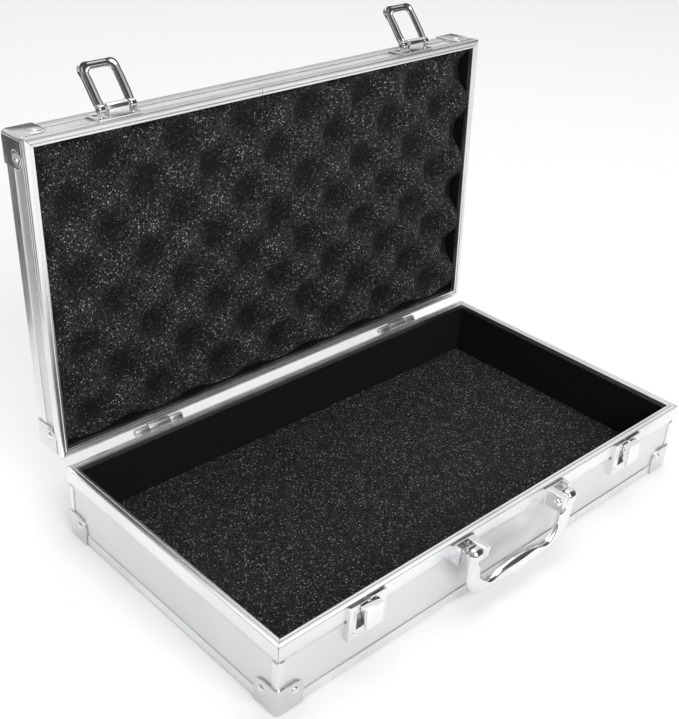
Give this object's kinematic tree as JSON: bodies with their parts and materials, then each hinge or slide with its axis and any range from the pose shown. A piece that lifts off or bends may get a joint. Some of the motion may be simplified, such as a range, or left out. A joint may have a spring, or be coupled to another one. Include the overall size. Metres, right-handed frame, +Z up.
{
  "type": "poker chip case",
  "caption": "Hinged aluminium-framed chip case with foam-lined lid and base, drop-over hasps, sprung latch hooks, corner protectors and a swinging carry handle.",
  "frame": {"origin": "middle of the underside of the base, which is the face the case stands on", "axes": "+Z up, +X to the right along the hinge line, front with latches and handle at -Y; lid stored open"},
  "size_m": [0.383, 0.2675, 0.2928],
  "materials": {
    "silver_panel": "fibreboard faced with brushed silver laminate",
    "rim_aluminium": "satin anodised extrusion",
    "corner_steel": "pressed steel, bright nickel plate",
    "chrome": "polished chrome plate",
    "hinge_steel": "zinc-plated steel",
    "fixing_steel": "bright steel rivets, pins and spring wire",
    "black_lining": "matt black lining cloth on the walls",
    "black_foam": "open-cell black foam with glinting cells",
    "rubber": "matt black rubber"
  },
  "bodies": {
    "base": {"base_floor_panel": "silver_panel", "base_front_panel": "silver_panel", "base_back_panel": "silver_panel", "base_end_panels": "silver_panel", "base_wall_liner": "black_lining", "base_foam_pad": "black_foam", "base_rim_front": "rim_aluminium", "base_rim_back": "rim_aluminium", "base_rim_left": "rim_aluminium", "base_rim_right": "rim_aluminium", "base_edge_rails": "rim_aluminium", "base_corner_posts": "rim_aluminium", "base_corner_front_left": "corner_steel", "base_corner_front_right": "corner_steel", "base_corner_back_left": "corner_steel", "base_corner_back_right": "corner_steel", "base_corner_rivets": "fixing_steel", "latch_plate_left": "chrome", "latch_plate_right": "chrome", "latch_pins": "fixing_steel", "latch_springs": "fixing_steel", "front_rivets": "fixing_steel", "handle_bracket_left": "chrome", "handle_bracket_right": "chrome", "handle_pins": "fixing_steel", "hinge_base_leaf_left": "hinge_steel", "hinge_base_leaf_right": "hinge_steel", "hinge_pins": "fixing_steel", "base_hinge_rivets": "fixing_steel", "base_feet": "rubber"},
    "lid": {"lid_top_panel": "silver_panel", "lid_front_panel": "silver_panel", "lid_back_panel": "silver_panel", "lid_end_panels": "silver_panel", "lid_wall_liner": "black_lining", "lid_foam": "black_foam", "lid_rim_front": "rim_aluminium", "lid_rim_back": "rim_aluminium", "lid_rim_left": "rim_aluminium", "lid_rim_right": "rim_aluminium", "lid_edge_rails": "rim_aluminium", "lid_corner_front_left": "corner_steel", "lid_corner_front_right": "corner_steel", "lid_corner_back_left": "corner_steel", "lid_corner_back_right": "corner_steel", "lid_corner_rivets": "fixing_steel", "hinge_lid_leaf_left": "hinge_steel", "hinge_lid_leaf_right": "hinge_steel", "lid_hinge_rivets": "fixing_steel", "hasp_bracket_left": "chrome", "hasp_bracket_right": "chrome", "hasp_pins": "fixing_steel", "hasp_rivets": "fixing_steel", "lid_feet": "rubber"},
    "hasp_left": {"hasp_left": "chrome"},
    "hasp_right": {"hasp_right": "chrome"},
    "latch_hook_left": {"latch_hook_left": "chrome"},
    "latch_hook_right": {"latch_hook_right": "chrome"},
    "handle": {"handle": "chrome"}
  },
  "joints": [
    {"name": "lid_hinge", "type": "hinge", "parent": "base", "child": "lid", "pos_m": [0, 0.1079, 0.0522], "axis": [1, 0, 0], "range_deg": [0, 92.6]},
    {"name": "hasp_left_swing", "type": "hinge", "parent": "lid", "child": "hasp_left", "pos_m": [-0.1255, 0.12398, 0.26959], "axis": [1, 0, 0], "range_deg": [0, 129]},
    {"name": "hasp_right_swing", "type": "hinge", "parent": "lid", "child": "hasp_right", "pos_m": [0.1255, 0.12398, 0.26959], "axis": [1, 0, 0], "range_deg": [0, 129]},
    {"name": "latch_hook_left_press", "type": "hinge", "parent": "base", "child": "latch_hook_left", "pos_m": [-0.1255, -0.1088, 0.0466], "axis": [1, 0, 0], "range_deg": [0, 8], "stiffness_Nm_per_rad": 0.05, "springref_deg": -20.05},
    {"name": "latch_hook_right_press", "type": "hinge", "parent": "base", "child": "latch_hook_right", "pos_m": [0.1255, -0.1088, 0.0466], "axis": [1, 0, 0], "range_deg": [0, 8], "stiffness_Nm_per_rad": 0.05, "springref_deg": -20.05},
    {"name": "handle_swing", "type": "hinge", "parent": "base", "child": "handle", "pos_m": [0, -0.116, 0.0465], "axis": [-1, 0, 0], "range_deg": [-8, 100]}
  ]
}
